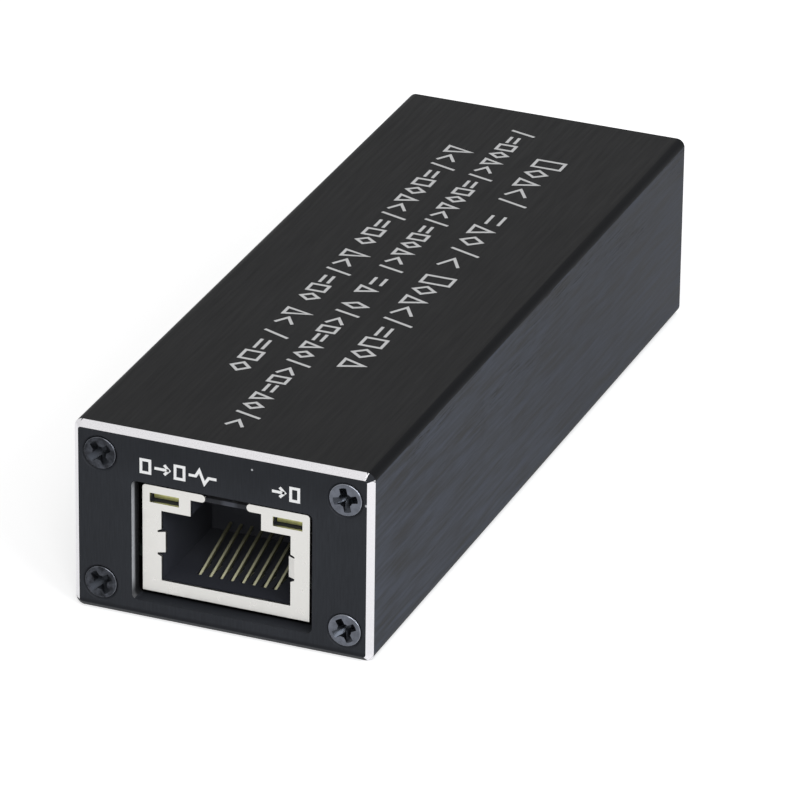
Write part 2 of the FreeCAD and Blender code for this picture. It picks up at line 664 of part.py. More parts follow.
def build_jack_shield():
    sheet_gap = s.shield_sheet
    body = new_body("rj45_shield")
    inside = (jack_face + sheet_gap, jack_back - sheet_gap)
    plate = (jack_face, jack_face + sheet_gap)
    pad(body, "ShieldWrap", "XZ", (jack_face, jack_back),
        rounded((-jack_x, jack_x), (jack_bottom, jack_top), s.shield_fold))
    # only the top corners of the face are folded: the bottom ones are cut square
    pad(body, "ShieldApron", "XZ", plate,
        rectangle((-jack_x, jack_x), (jack_bottom, jack_bottom + s.plug_sill)))
    pocket(body, "ShieldHollow", "XZ", inside,
           rounded((-jack_x + sheet_gap, jack_x - sheet_gap),
                   (jack_bottom + sheet_gap, jack_top - sheet_gap), s.shield_fold - sheet_gap))
    pocket(body, "ShieldStep", "XZ", (seat_front, jack_back),
           rectangle((-jack_x, jack_x), (jack_bottom, board_top)))
    half, latch = s.plug_width / 2, s.latch_width / 2
    notch = s.notch_size / 2
    gap = s.latch_gap / 2 + s.strip_height / 2
    pocket(body, "ShieldMouth", "XZ", plate,
           outline([(-half, plug_floor), (half, plug_floor), (half, plug_ceiling),
                    (latch, plug_ceiling), (latch, latch_top), (-latch, latch_top),
                    (-latch, plug_ceiling), (-half, plug_ceiling)]))
    pocket(body, "ShieldLatchGap", "XZ", (jack_face, jack_face + s.gap_depth),
           rectangle((-gap, gap), (latch_top, jack_top)))
    pad(body, "ShieldStripEnds", "XZ", plate,
        *(circle(side * gap, latch_top + s.strip_height / 2, s.strip_height / 2) for side in (-1, 1)))
    pocket(body, "ShieldLampWindows", "XZ", plate,
           *(rectangle(about(side * lamp_x, s.lamp_width), about(lamp_z, s.lamp_height))
             for side in (-1, 1)))
    finger = about(finger_z, s.finger_height - s.notch_size)
    slots, plates = [], []
    for side in (-1, 1):
        root = side * (half + s.finger_root)
        tip = side * (half - s.finger_reach)
        slots.append(outline([(side * half, finger[0] - notch * 2), (root, finger[0] - notch),
                              (root, finger[1] + notch), (side * half, finger[1] + notch * 2)]))
        plates.append(outline([(root, jack_face), (root, jack_face + sheet_gap),
                               (tip, jack_face + s.finger_bend + sheet_gap),
                               (tip, jack_face + s.finger_bend)]))
    pocket(body, "ShieldFingerSlots", "XZ", plate, *slots)
    pad(body, "ShieldFingers", "XY", finger, *plates)
    for i, y in enumerate(wing_places):
        wings = []
        for side in (-1, 1):
            inner, knee, outer = (side * x for x in (jack_x - sheet_gap, wing_x - sheet_gap, wing_x))
            wings.append(outline([(inner, board_top), (knee, board_top), (knee, pin_tip),
                                  (outer, pin_tip), (outer, board_top + sheet_gap),
                                  (inner, board_top + sheet_gap)]))
        pad(body, f"ShieldWings{i}", "XZ", about(y, s.wing_length), *wings)
    node("rj45_shield", body)


def contact_sketch():
    """Side view of one jack contact: pin, bridge over the board, run in the floor, rising spring."""
    half = s.contact_thick / 2
    run = jack_bottom + s.contact_floor
    drop = seat_front - s.shield_sheet - s.contact_thick
    bridge = board_top + s.contact_bridge
    nose, tip = jack_face + s.contact_nose, jack_face + s.contact_tip
    top = run + s.contact_rise
    return flat_sketch("ContactOutline", "YZ", outline([
        (contact_pin_y + half, pin_tip), (contact_pin_y + half, bridge + half),
        (drop - half, bridge + half), (drop - half, run + half),
        (nose + s.contact_crook, run + half), (tip, top - half), (tip, top + half),
        (nose, run + 2 * half), (nose - half, run + half), (nose - half, run - half),
        (drop + half, run - half), (drop + half, bridge - half),
        (contact_pin_y - half, bridge - half), (contact_pin_y - half, pin_tip)]))


def lamp_leads(name, side, gap):
    """The two leads of one lamp, or the channels round them when gap isn't zero."""
    half = s.lead_width / 2 + gap
    leads = []
    for i, offset in enumerate((-s.lead_pitch / 2, s.lead_pitch / 2)):
        x = about(side * lamp_x + offset, half * 2)
        back = jack_face + s.lamp_recess + s.lamp_length
        leads.append(block(f"{name}Run{i}", x, (back - s.lead_bury, lead_y + half),
                           (lamp_z - half, lamp_z + half)))
        leads.append(block(f"{name}Drop{i}", x, (lead_y - half, lead_y + half), (pin_tip, lamp_z + half)))
    return leads


def build_lamp(side, label):
    name = "Lamp" + ("Left" if side < 0 else "Right")
    face = jack_face + s.lamp_recess
    lens = block(name + "Lens", about(side * lamp_x, s.lamp_width - 2 * s.moulding_fit),
                 (face, face + s.lamp_length), about(lamp_z, s.lamp_height - 2 * s.moulding_fit))
    node(label, fuse(name + "Piece", [lens] + lamp_leads(name + "Lead", side, 0.0)))


def build_jack_housing(contact_outline):
    fit = s.moulding_fit
    x = jack_x - s.shield_sheet - fit
    face = jack_face + s.shield_sheet
    tools = [
        block("HousingStep", (-jack_x, jack_x), (seat_front - s.shield_sheet, jack_back),
              (jack_bottom, board_top)),
        block("HousingPlug", about(as_size(0), s.plug_width), (jack_face, jack_face + s.plug_depth),
              (plug_floor, plug_ceiling)),
        block("HousingLatch", about(as_size(0), s.latch_width), (jack_face, jack_face + s.latch_depth),
              (plug_ceiling - s.overcut, latch_top)),
    ]
    run = jack_bottom + s.contact_floor
    nose = jack_face + s.contact_nose
    for i, place in enumerate(contact_places):
        tools.append(prism(f"HousingChannel{i}", contact_outline, "YZ",
                           about(place, s.contact_width + 2 * s.slot_gap)))
        tools.append(block(f"HousingComb{i}", about(place, s.contact_width + 2 * s.slot_gap),
                           (nose - s.contact_thick / 2, nose + s.contact_slot),
                           (run - s.contact_thick / 2, plug_floor + s.overcut)))
    for side in (-1, 1):
        name = "Housing" + ("Left" if side < 0 else "Right")
        tools.append(block(name + "Pocket", about(side * lamp_x, s.lamp_width),
                           (jack_face, jack_face + s.lamp_recess + s.lamp_length),
                           about(lamp_z, s.lamp_height)))
        tools += lamp_leads(name + "Lead", side, fit)
        tools.append(block(name + "Relief", about(side * s.plug_width / 2, 2 * (s.finger_root + fit)),
                           (jack_face, jack_face + 2 * s.finger_bend),
                           about(finger_z, s.finger_height + fit)))
    base = block("HousingBlock", (-x, x), (face, jack_back - s.shield_sheet - fit),
                 (jack_bottom + s.shield_sheet + fit, jack_top - s.shield_sheet - fit))
    node("rj45_housing", cut("JackHousing", base, tools))


def build_jack():
    build_jack_shield()
    contact_outline = contact_sketch()
    node("rj45_contacts", group("JackContacts", strips("JackContact", contact_outline, "YZ",
                                                       contact_places, s.contact_width)))
    build_jack_housing(contact_outline)
    build_lamp(-1, "rj45_lamp_left")
    build_lamp(1, "rj45_lamp_right")


# ---- module cage ----

def build_cage():
    sheet_gap = s.cage_sheet
    body = new_body("sfp_cage")
    pad(body, "CageWrap", "XZ", (cage_end, cage_mouth),
        rectangle((-cage_x, cage_x), (board_top, cage_top)))
    pocket(body, "CageHollow", "XZ", (cage_end + sheet_gap, cage_mouth),
           rectangle((-cage_x + sheet_gap, cage_x - sheet_gap),
                     (board_top + sheet_gap, cage_top - sheet_gap)))
    pocket(body, "CageConnectorOpening", "XY", (board_top, board_top + sheet_gap),
           rectangle((-cage_x + sheet_gap, cage_x - sheet_gap),
                     (cage_end, host_mouth + s.host_foot + s.cage_open_gap)))
    vents = [cage_end + s.cage_pin_inset + s.vent_pitch * i for i in range(COUNTS.vents)]
    pocket(body, "CageRoofVents", "XY", (cage_top - sheet_gap, cage_top),
           *(circle((j - 1) * s.vent_pitch, y, s.vent_width / 2)
             for y in vents for j in range(COUNTS.vent_rows)))
    pocket(body, "CageSideVents", "YZ", (-cage_x, cage_x),
           *(circle(y, board_top + s.cage_height / 2, s.vent_width / 2) for y in vents))
    tab = s.tab_width / 2
    window = s.tab_window / 2
    window_y = cage_mouth - s.tab_window
    pocket(body, "CageLatchTab", "XY", (board_top, board_top + sheet_gap),
           *(rectangle(in_order(side * tab, side * (tab + s.tab_slit)),
                       (cage_mouth - s.tab_length, cage_mouth)) for side in (-1, 1)),
           outline([(-window, window_y), (window, window_y), (as_size(0), window_y - s.tab_window)]))
    pins = []
    for side in (-1, 1):
        edges = in_order(side * (cage_x - sheet_gap), side * cage_x)
        pins += [rectangle(edges, about(y, s.cage_pin)) for y in cage_pin_places]
    pad(body, "CagePins", "XY", (board_bottom - s.cage_pin_reach, board_top + sheet_gap), *pins)
    node("sfp_cage", body)


def spring_points(surface, side):
    """Side view of one collar spring that bulges away from a wall of the cage."""
    sheet_gap = s.collar_sheet
    root = cage_mouth - s.collar_back + s.collar_band
    end = cage_mouth - s.collar_lip
    crest = cage_mouth - s.collar_crest
    levels = [(root - 2 * sheet_gap, 0), (root, 0), (crest, s.collar_bulge - sheet_gap), (end, 0)]
    under = [(y, surface + side * rise) for y, rise in levels]
    over = [(y, surface + side * (rise + sheet_gap)) for y, rise in reversed(levels)]
    return under + over


def build_collar():
    sheet_gap = s.collar_sheet
    band = (cage_mouth - s.collar_back, cage_mouth - s.collar_back + s.collar_band)
    ring = cut("CollarBand",
               block("CollarOuter", (-cage_x - sheet_gap, cage_x + sheet_gap), band,
                     (board_top, cage_top + sheet_gap)),
               [block("CollarInner", (-cage_x, cage_x), band, (board_top, cage_top))])
    top_sketch = flat_sketch("CollarTopSpring", "YZ", outline(spring_points(cage_top, 1)))
    pieces = [ring] + strips("CollarTop", top_sketch, "YZ",
                             spread(as_size(0), s.cage_width, COUNTS.collar_top), s.collar_spring)
    heights = spread(board_top + s.cage_height / 2, s.cage_height, COUNTS.collar_side)
    for side in (-1, 1):
        points = [(x, y) for y, x in spring_points(side * cage_x, side)]
        side_sketch = flat_sketch(f"CollarSideSpring{side + 1}", "XY", outline(points))
        pieces += strips(f"CollarSide{side + 1}_", side_sketch, "XY", heights, s.collar_spring)
    node("sfp_spring_collar", fuse("SpringCollar", pieces))


def build_host_connector():
    back, mouth = host_back, host_mouth
    slot_z = board_top + s.host_slot_rise
    half_slot = s.host_slot_height / 2
    thick = s.strip_thick
    places = [s.host_pitch * (i - (COUNTS.host_row - 1) / 2) for i in range(COUNTS.host_row)]
    high = slot_z + half_slot + thick
    upper = flat_sketch("HostUpper", "YZ", outline([
        (back - s.host_foot, board_top), (back, board_top), (back, high - thick),
        (mouth - thick * 3, high - thick), (mouth - thick * 3, high), (back - thick, high),
        (back - thick, board_top + thick), (back - s.host_foot, board_top + thick)]))
    low = slot_z - half_slot - thick
    lower = flat_sketch("HostLower", "YZ", outline([
        (mouth + s.host_foot, board_top), (mouth, board_top), (mouth, low),
        (mouth - s.host_slot_depth + thick * 3, low), (mouth - s.host_slot_depth + thick * 3, low + thick),
        (mouth + thick, low + thick), (mouth + thick, board_top + thick),
        (mouth + s.host_foot, board_top + thick)]))
    node("sfp_connector_contacts", group("HostContacts",
         strips("HostUpperContact", upper, "YZ", places, s.host_contact)
         + strips("HostLowerContact", lower, "YZ", places, s.host_contact)))
    body = block("HostBlock", about(as_size(0), s.host_width), (back, mouth),
                 (board_top, board_top + s.host_height))
    slot = block("HostSlot", about(as_size(0), s.host_slot_width), (mouth - s.host_slot_depth, mouth),
                 (slot_z - half_slot, slot_z + half_slot))
    grooves = []
    for i, place in enumerate(places):
        x = about(place, s.host_contact)
        grooves.append(block(f"HostUpperGroove{i}", x, (back, mouth - thick * 3), (high - thick, high)))
        grooves.append(block(f"HostLowerGroove{i}", x, (mouth - s.host_slot_depth + thick * 3, mouth),
                             (low, low + thick)))
    node("sfp_connector", cut("HostConnector", body, [slot] + grooves))


# ---- power socket, under the board ----

def build_power_shell():
    sheet_gap = s.power_sheet
    low = board_bottom - s.power_height
    shell = new_body("usb_c_shell")
    pad(shell, "PowerWrap", "XZ", (power_back, power_mouth),
        rounded((-power_x, power_x), (low, board_bottom), s.power_radius))
    pocket(shell, "PowerHollow", "XZ", (power_back + sheet_gap, power_mouth),
           rounded((-power_x + sheet_gap, power_x - sheet_gap), (low + sheet_gap, board_bottom - sheet_gap),
                   s.power_radius - sheet_gap))
    pocket(shell, "PowerTail", "XZ", (power_back, power_back + sheet_gap),
           rectangle(about(as_size(0), s.tongue_width), (power_z - s.tongue_thick, board_bottom)))
    legs = []
    for side in (-1, 1):
        edges = in_order(side * (power_x - sheet_gap), side * power_x)
        legs += [rectangle(edges, about(y, s.power_leg)) for y in power_leg_places]
    pad(shell, "PowerLegs", "XY", (power_z, board_top - s.pin_gap), *legs)
    node("usb_c_shell", shell)


def build_power_contacts():
    """Both rows of contacts on the tongue; returns the grooves that they need in the moulding."""
    strip = s.power_strip
    tail = power_back - strip * 2
    arm_end = power_mouth - s.tongue_recess - strip * 4
    foot = power_back - s.power_foot
    half = s.tongue_thick / 2
    contacts, grooves = [], []
    for name, low_z, side in (("Upper", power_z + half, 1), ("Lower", power_z - half - strip, -1)):
        sketch = flat_sketch(f"Power{name}Outline", "YZ", outline([
            (arm_end, low_z), (arm_end, low_z + strip), (tail + strip, low_z + strip),
            (tail + strip, board_bottom), (foot, board_bottom), (foot, board_bottom - strip),
            (tail, board_bottom - strip), (tail, low_z)]))
        step = s.power_contact_pitch
        places = spread(side * step / 2, step * 2 * COUNTS.power_row, COUNTS.power_row)
        contacts += strips(f"Power{name}Contact", sketch, "YZ", places, s.power_contact)
        grooves += [block(f"Power{name}Groove{i}", about(place, s.power_contact), (power_back, arm_end),
                          (low_z, low_z + strip)) for i, place in enumerate(places)]
    node("usb_c_contacts", group("PowerContacts", contacts))
    return grooves


def build_power_insert(grooves):
    fit = s.power_sheet + s.moulding_fit
    plug_end = power_mouth - s.power_plug_depth
    insert = new_body("usb_c_insert_moulding")
    pad(insert, "InsertBlock", "XZ", (power_back + s.power_sheet, plug_end),
        rounded((-power_x + fit, power_x - fit),
                (board_bottom - s.power_height + fit, board_bottom - fit), s.power_radius - fit))
    pad(insert, "InsertTongue", "XZ", (plug_end, power_mouth - s.tongue_recess),
        rounded(about(as_size(0), s.tongue_width), about(power_z, s.tongue_thick), s.tongue_radius))
    node("usb_c_insert", cut("PowerInsert", insert, grooves))


# ---- circuit board and what is on it ----

def build_board():
    body = new_body("circuit_board")
    x = inner_x - s.board_slide
    notch_x = jack_x + s.pin_gap
    notch_y = seat_front + s.pin_gap
    pad(body, "BoardPlate", "XY", (board_bottom, board_top), outline([
        (-x, board_front), (-notch_x, board_front), (-notch_x, notch_y), (notch_x, notch_y),
        (notch_x, board_front), (x, board_front), (x, board_rear), (-x, board_rear)]))
    gap = s.pin_gap
    holes = [circle(place, contact_pin_y, s.contact_width / 2 + gap) for place in contact_places]
    for side in (-1, 1):
        for offset in (-s.lead_pitch / 2, s.lead_pitch / 2):
            holes.append(circle(side * lamp_x + offset, lead_y, s.lead_width / math.sqrt(2) + gap))
        holes += [rectangle(about(side * (wing_x - s.shield_sheet / 2), s.shield_sheet + 2 * gap),
                            about(y, s.wing_length + 2 * gap)) for y in wing_places]
        holes += [rectangle(about(side * (cage_x - s.cage_sheet / 2), s.cage_sheet + 2 * gap),
                            about(y, s.cage_pin + 2 * gap)) for y in cage_pin_places]
        holes += [rectangle(about(side * (power_x - s.power_sheet / 2), s.power_sheet + 2 * gap),
                            about(y, s.power_leg + 2 * gap)) for y in power_leg_places]
    pocket(body, "BoardHoles", "XY", (board_bottom, board_top), *holes)
    node("circuit_board", body)


def package_name(label):
    return "".join(word.capitalize() for word in label.split("_"))


def part_size(part, word):
    return getattr(s, f"{part}_{word}")


def leaded_package(label, part, centre, leads, along="x"):
    """A moulded package under the board, with bent leads on its two long sides.

    centre is its (x, y), leads how many stand in each row, and along the axis of the rows."""
    row, across, height, pitch, width, reach = (
        part_size(part, word) for word in ("length", "width", "height", "pitch", "lead", "reach"))
    row_middle, cross_middle = centre if along == "x" else centre[::-1]
    body_spans = (about(as_size(row_middle), row), about(as_size(cross_middle), across))
    x, y = body_spans if along == "x" else body_spans[::-1]
    name = package_name(label)
    body = block(name + "Body", x, y, (board_bottom - height, board_bottom - s.package_standoff))
    far = across / 2 + reach
    knee = across / 2 + reach / 2
    middle = height / 2
    thick = s.lead_thick
    hat = [(-far, 0), (-knee, 0), (-knee, middle - thick), (knee, middle - thick), (knee, 0), (far, 0),
           (far, thick), (knee + thick, thick), (knee + thick, middle), (-knee - thick, middle),
           (-knee - thick, thick), (-far, thick)]
    points = [(cross_middle + u, board_bottom - v) for u, v in hat]
    plane = "YZ" if along == "x" else "XZ"
    sketch = flat_sketch(name + "LeadOutline", plane, outline(points))
    places = [row_middle + pitch * (i - (leads - 1) / 2) for i in range(leads)]
    node(label, fuse(name + "Piece", [body] + strips(name + "Lead", sketch, plane, places, width)))


def flat_package(label, part, centre):
    """A leadless package under the board: a base and a slightly smaller lid on it."""
    length, width, height, base = (part_size(part, word) for word in ("length", "width", "height", "base"))
    name = package_name(label)
    x, y = as_size(centre[0]), centre[1]
    inset = 2 * s.lid_inset
    node(label, fuse(name + "Piece", [
        block(name + "Base", about(x, length), about(y, width), (board_bottom - base, board_bottom)),
        block(name + "Lid", about(x, length - inset), about(y, width - inset),
              (board_bottom - height, board_bottom - base)),
    ]))


def build_can(label, x, y):
    """An aluminium can capacitor on its moulded base, two corners of which are cut off."""
    name = package_name(label)
    half = s.can_base / 2
    clip = s.can_clip
    base_top = board_top + s.can_base_thick
    top = board_top + s.can_height
    base = prism(name + "Base", flat_sketch(name + "BaseOutline", "XY", outline([
        (x - half, y - half), (x + half, y - half), (x + half, y + half - clip),
        (x + half - clip, y + half), (x - half + clip, y + half), (x - half, y + half - clip)])),
        "XY", (board_top, base_top))
    radius = s.can_width / 2
    groove = (base_top + s.can_foot, base_top + s.can_foot + 2 * s.can_groove)
    can = [rod(name + "Foot", "z", (base_top, groove[0]), (x, y), radius),
           rod(name + "Neck", "z", groove, (x, y), radius - s.can_groove),
           rod(name + "Can", "z", (groove[1], top - s.can_groove), (x, y), radius),
           taper(name + "Rim", "z", (top - s.can_groove, top), (x, y), radius, radius - s.can_groove)]
    node(label, fuse(name + "Piece", [base] + can))


def chip(name, part, x, y):
    """A two-ended chip part on the board: a body between two slightly thicker end caps."""
    half, width, top = (part_size(part, "length") / 2, part_size(part, "width"),
                        board_top + part_size(part, "height"))
    neck = half - s.cap_length
    return fuse(name, [
        block(name + "Body", about(x, width - 2 * s.cap_proud), (y - neck, y + neck),
              (board_top, top - s.cap_proud)),
        block(name + "Near", about(x, width), (y - half, y - neck), (board_top, top)),
        block(name + "Far", about(x, width), (y + neck, y + half), (board_top, top)),
    ])


def build_side_parts():
    """A row of chip parts on the board along each side of the module cage."""
    first = cage_end + s.cage_pin_inset + s.vent_pitch
    last = cage_mouth - s.cage_pin_inset
    pitch = (last - first) / (COUNTS.side_parts - 1)
    for side, label, part in ((-1, "ceramic_capacitors", "capacitor"), (1, "chip_resistors", "resistor")):
        x = side * (cage_x + s.collar_bulge + s.side_gap + part_size(part, "width") / 2)
        name = package_name(label)
        chips = [chip(f"{name}{i}", part, x, first + pitch * i) for i in range(COUNTS.side_parts)]
        node(label, group(name + "Row", chips))


def build_components():
    gap = s.part_gap
    # signal side, set out from the jack backwards
    transformer_half = s.transformer_width / 2 + s.transformer_reach
    transformer_y = jack_back + gap + transformer_half
    leaded_package("lan_transformer", "transformer", (0, transformer_y), COUNTS.transformer_leads)
    converter_y = transformer_y + transformer_half + gap + s.converter_width / 2
    flat_package("converter_chip", "converter", (0, converter_y))
    crystal_x = -s.converter_length / 2 - gap - s.crystal_length / 2
    crystal_y = converter_y - s.converter_width / 2 + s.crystal_width
    flat_package("reference_crystal", "crystal", (crystal_x, crystal_y))
    # power side, set out from the power socket forwards
    diode_y = power_back - s.power_foot - gap - s.diode_length / 2
    leaded_package("surge_diode", "diode", (0, diode_y), 1, "y")
    bridge_y = diode_y - s.diode_length / 2 - gap - s.bridge_length / 2
    bridge_x = (s.bridge_width + gap) / 2 + s.bridge_reach
    for side, label in ((-1, "bridge_rectifier_left"), (1, "bridge_rectifier_right")):
        leaded_package(label, "bridge", (side * bridge_x, bridge_y), COUNTS.bridge_leads, "y")
    inductor_y = bridge_y - s.bridge_length / 2 - gap - s.inductor_width / 2
    inductor_x = (s.inductor_length + gap) / 2
    flat_package("buck_inductor", "inductor", (inductor_x, inductor_y))
    regulator_x = -s.regulator_width / 2 - s.regulator_reach - gap / 2
    leaded_package("buck_regulator", "regulator", (regulator_x, inductor_y), COUNTS.regulator_leads, "y")
    memory_y = inductor_y - s.inductor_width / 2 - gap - s.memory_length / 2
    leaded_package("config_memory", "memory", (0, memory_y), COUNTS.memory_leads, "y")
    # tall parts in the open bay between the jack and the cage
    bay_y = jack_back + s.bay_length / 2
    build_can("bulk_capacitor_left", -s.can_base / 2 - gap, bay_y)
    build_can("bulk_capacitor_right", s.can_base / 2 + gap, bay_y)
    build_side_parts()


# ---- the whole converter ----

def build_all():
    build_sleeve()
    build_panel("front", [rounded((-jack_x - s.jack_margin, jack_x + s.jack_margin),
                                  (jack_bottom - s.jack_margin, jack_top + s.jack_margin),
                                  s.cutout_radius)])
    build_panel("rear", [rounded((-cage_x - s.cage_margin, cage_x + s.cage_margin),
                                 (board_top - s.power_margin, cage_top + s.cage_margin),
                                 s.cutout_radius),
                         rounded((-power_x - s.power_margin, power_x + s.power_margin),
                                 (board_bottom - s.power_height - s.power_margin,
                                  board_bottom + s.power_margin), s.power_radius + s.power_margin)])
    build_screws("front")
    build_screws("rear")
    build_jack()
    build_cage()
    build_collar()
    build_host_connector()
    build_power_shell()
    build_power_insert(build_power_contacts())
    build_board()
    build_components()


def check_document():
    """Stop if any feature failed, cut nothing, or any piece is empty or broken."""
    for thing in doc.Objects:
        if "Invalid" in thing.State or "Error" in thing.State:
            raise RuntimeError(f"{thing.Name} didn't compute: {thing.State}")
        if thing.TypeId == "PartDesign::Pocket":
            before = thing.BaseFeature.Shape.Volume
            if thing.Shape.Volume > before - 1e-6:
                raise RuntimeError(f"{thing.Name} cuts nothing")
    for label, thing in NODES.items():
        if thing.Shape.isNull() or not thing.Shape.isValid() or not thing.Shape.Solids:
            raise RuntimeError(f"{label} has no valid shape")


build_all()
doc.recompute()
check_document()
os.makedirs("parts", exist_ok=True)
for label, thing in NODES.items():
    thing.Shape.exportStep(f"parts/{label}.step")
    print(f"{label}: {len(thing.Shape.Solids)} solid(s), {thing.Shape.Volume:.2f} mm3")
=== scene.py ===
"""Looks of the fibre media converter: finishes of its pieces, its print, the studio and the camera."""
import json
import math

import bmesh
import bpy
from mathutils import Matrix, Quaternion, Vector


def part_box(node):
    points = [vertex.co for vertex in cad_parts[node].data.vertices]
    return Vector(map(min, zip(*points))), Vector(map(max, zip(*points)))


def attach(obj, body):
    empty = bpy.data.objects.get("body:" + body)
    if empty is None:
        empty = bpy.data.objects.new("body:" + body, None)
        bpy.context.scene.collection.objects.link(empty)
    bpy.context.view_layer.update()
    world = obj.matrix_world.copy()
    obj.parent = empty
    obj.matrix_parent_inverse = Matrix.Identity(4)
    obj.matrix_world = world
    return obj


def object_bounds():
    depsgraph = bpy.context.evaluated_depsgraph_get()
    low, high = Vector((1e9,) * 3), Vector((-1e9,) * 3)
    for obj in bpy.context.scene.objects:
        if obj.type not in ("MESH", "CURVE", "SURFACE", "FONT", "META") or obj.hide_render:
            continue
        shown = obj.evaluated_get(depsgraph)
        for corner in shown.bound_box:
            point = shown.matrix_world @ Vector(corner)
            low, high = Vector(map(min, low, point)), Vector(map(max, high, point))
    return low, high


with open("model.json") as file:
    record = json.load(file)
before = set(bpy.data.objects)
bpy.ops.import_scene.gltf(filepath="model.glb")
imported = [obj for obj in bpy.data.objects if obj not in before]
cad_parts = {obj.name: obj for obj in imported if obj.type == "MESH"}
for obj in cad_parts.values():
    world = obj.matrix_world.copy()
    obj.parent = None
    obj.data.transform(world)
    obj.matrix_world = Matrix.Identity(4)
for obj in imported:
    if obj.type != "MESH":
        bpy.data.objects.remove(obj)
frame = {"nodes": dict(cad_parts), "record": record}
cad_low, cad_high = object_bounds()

MM = 0.001                          # metres in a millimetre
MM_PER_METRE = 1000
NOISE_LOW, NOISE_HIGH = 0.3, 0.7    # noise lies between these nearly everywhere

# places of the CAD nodes, in millimetres
CASE_LOW, CASE_HIGH = (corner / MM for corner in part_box("housing_sleeve"))
SCREWS_LOW, SCREWS_HIGH = (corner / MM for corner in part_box("front_panel_screws"))
FRONT_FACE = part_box("front_panel")[0].y / MM
JACK_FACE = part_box("rj45_housing")[0].y / MM
CONTACT_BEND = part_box("rj45_contacts")[0].y / MM
LAMP_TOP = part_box("rj45_lamp_left")[1].z / MM
PANEL_THICK = CASE_LOW.y - FRONT_FACE
CONTACT_PITCH = 1.02


# ---- material building ----

def opaque(colour):
    """A colour as a shader's socket takes it."""
    return (*colour, 1.0)


class Nodes:
    """Short calls for the nodes of a material or of the world."""

    # the mix node repeats its socket names for each kind of value, so colours go by number
    MIX_SHARE, MIX_FIRST, MIX_SECOND, MIX_RESULT = 0, 6, 7, 2

    def __init__(self, tree):
        self.tree = tree

    def link(self, socket, value):
        """Joins a node's output to a socket, or writes a plain value into it."""
        if isinstance(value, bpy.types.NodeSocket):
            self.tree.links.new(value, socket)
        else:
            socket.default_value = value

    def add(self, kind, inputs, output=0, **settings):
        """A new node with its inputs and settings; gives back one of its outputs."""
        made = self.tree.nodes.new("ShaderNode" + kind)
        for key, value in settings.items():
            setattr(made, key, value)
        for socket, value in inputs.items():
            self.link(made.inputs[socket], value)
        return made.outputs[output]

    def math(self, operation, a, b=0.0):
        return self.add("Math", {0: a, 1: b}, operation=operation)

    def span(self, value, low, high, start=0.0, end=1.0):
        """Maps low..high of value onto start..end, and holds the ends."""
        inputs = {"Value": value, "From Min": low, "From Max": high, "To Min": start, "To Max": end}
        return self.add("MapRange", inputs)

    def mix(self, share, first, second):
        """A colour between two colours."""
        inputs = {self.MIX_SHARE: share, self.MIX_FIRST: first, self.MIX_SECOND: second}
        return self.add("Mix", inputs, self.MIX_RESULT, data_type="RGBA")

    def seen(self):
        """1 for what the camera, a reflection or glass looks at, and 0 for light on the object."""
        rays = self.tree.nodes.new("ShaderNodeLightPath").outputs
        share = rays["Is Camera Ray"]
        for name in ("Is Glossy Ray", "Is Transmission Ray"):
            share = self.math("MAXIMUM", share, rays[name])
        return share


class Finish(Nodes):
    """A material: its shader, and the patterns that feed it, laid out in millimetres of the row frame."""

    def __init__(self, name, colour, roughness, metallic=0.0, **sockets):
        self.material = bpy.data.materials.new(name)
        self.material.use_nodes = True
        super().__init__(self.material.node_tree)
        self.shader = self.tree.nodes["Principled BSDF"]
        self.colour, self.roughness = colour, roughness
        self.feed("Base Color", opaque(colour))
        self.feed("Roughness", roughness)
        self.feed("Metallic", metallic)
        for socket, value in sockets.items():
            self.feed(socket.replace("_", " "), value)

    def feed(self, socket, value):
        """Gives one of the shader's own inputs a value or a pattern."""
        self.link(self.shader.inputs[socket], value)

    def place(self, per_mm=(1, 1, 1)):
        """Position in the row frame in millimetres, stretched by per_mm along each axis."""
        where = self.add("TexCoord", {}, "Object")
        scale = tuple(MM_PER_METRE * share for share in per_mm)
        return self.add("VectorMath", {0: where, 1: scale}, operation="MULTIPLY")

    def along(self, axis):
        """Position along an axis of the row frame, in millimetres."""
        return self.add("SeparateXYZ", {0: self.place()}, axis)

    def away(self, value, middle):
        """How far a value is from a middle, either way."""
        return self.math("ABSOLUTE", self.math("SUBTRACT", value, middle))

    def noise(self, per_mm, detail=2.0, roughness=0.5):
        """Cloudy values round 0.5, with per_mm waves a millimetre along each axis."""
        inputs = {"Vector": self.place(per_mm), "Scale": 1.0, "Detail": detail, "Roughness": roughness}
        return self.add("TexNoise", inputs, "Fac")

    def spot(self, centre, radius):
        """1 within a small round place and 0 outside it, with a soft edge."""
        away = self.add("VectorMath", {0: self.place(), 1: centre}, "Value", operation="DISTANCE")
        return self.span(away, radius * 0.5, radius, start=1.0, end=0.0)

    def shade(self, share, low, high):
        """Colours the surface from low to high times its own colour."""
        ends = [opaque(min(1.0, part * times) for part in self.colour) for times in (low, high)]
        self.feed("Base Color", self.mix(share, *ends))

    def cover(self, share, colour):
        """Lays a second colour over the surface where share is near 1."""
        under = self.shader.inputs["Base Color"].links[0].from_socket
        self.feed("Base Color", self.mix(share, under, opaque(colour)))

    def roughen(self, texture, low, high):
        """Lets the roughness run from low to high times its own value."""
        ends = self.roughness * low, self.roughness * high
        self.feed("Roughness", self.span(texture, NOISE_LOW, NOISE_HIGH, *ends))

    def bump(self, height, depth_mm):
        """Lets the surface look up to depth_mm deep where height changes."""
        made = self.add("Bump", {"Height": height, "Distance": depth_mm * MM}, "Normal")
        self.feed("Normal", made)


# ---- finishes: each maker gives back a Finish ----

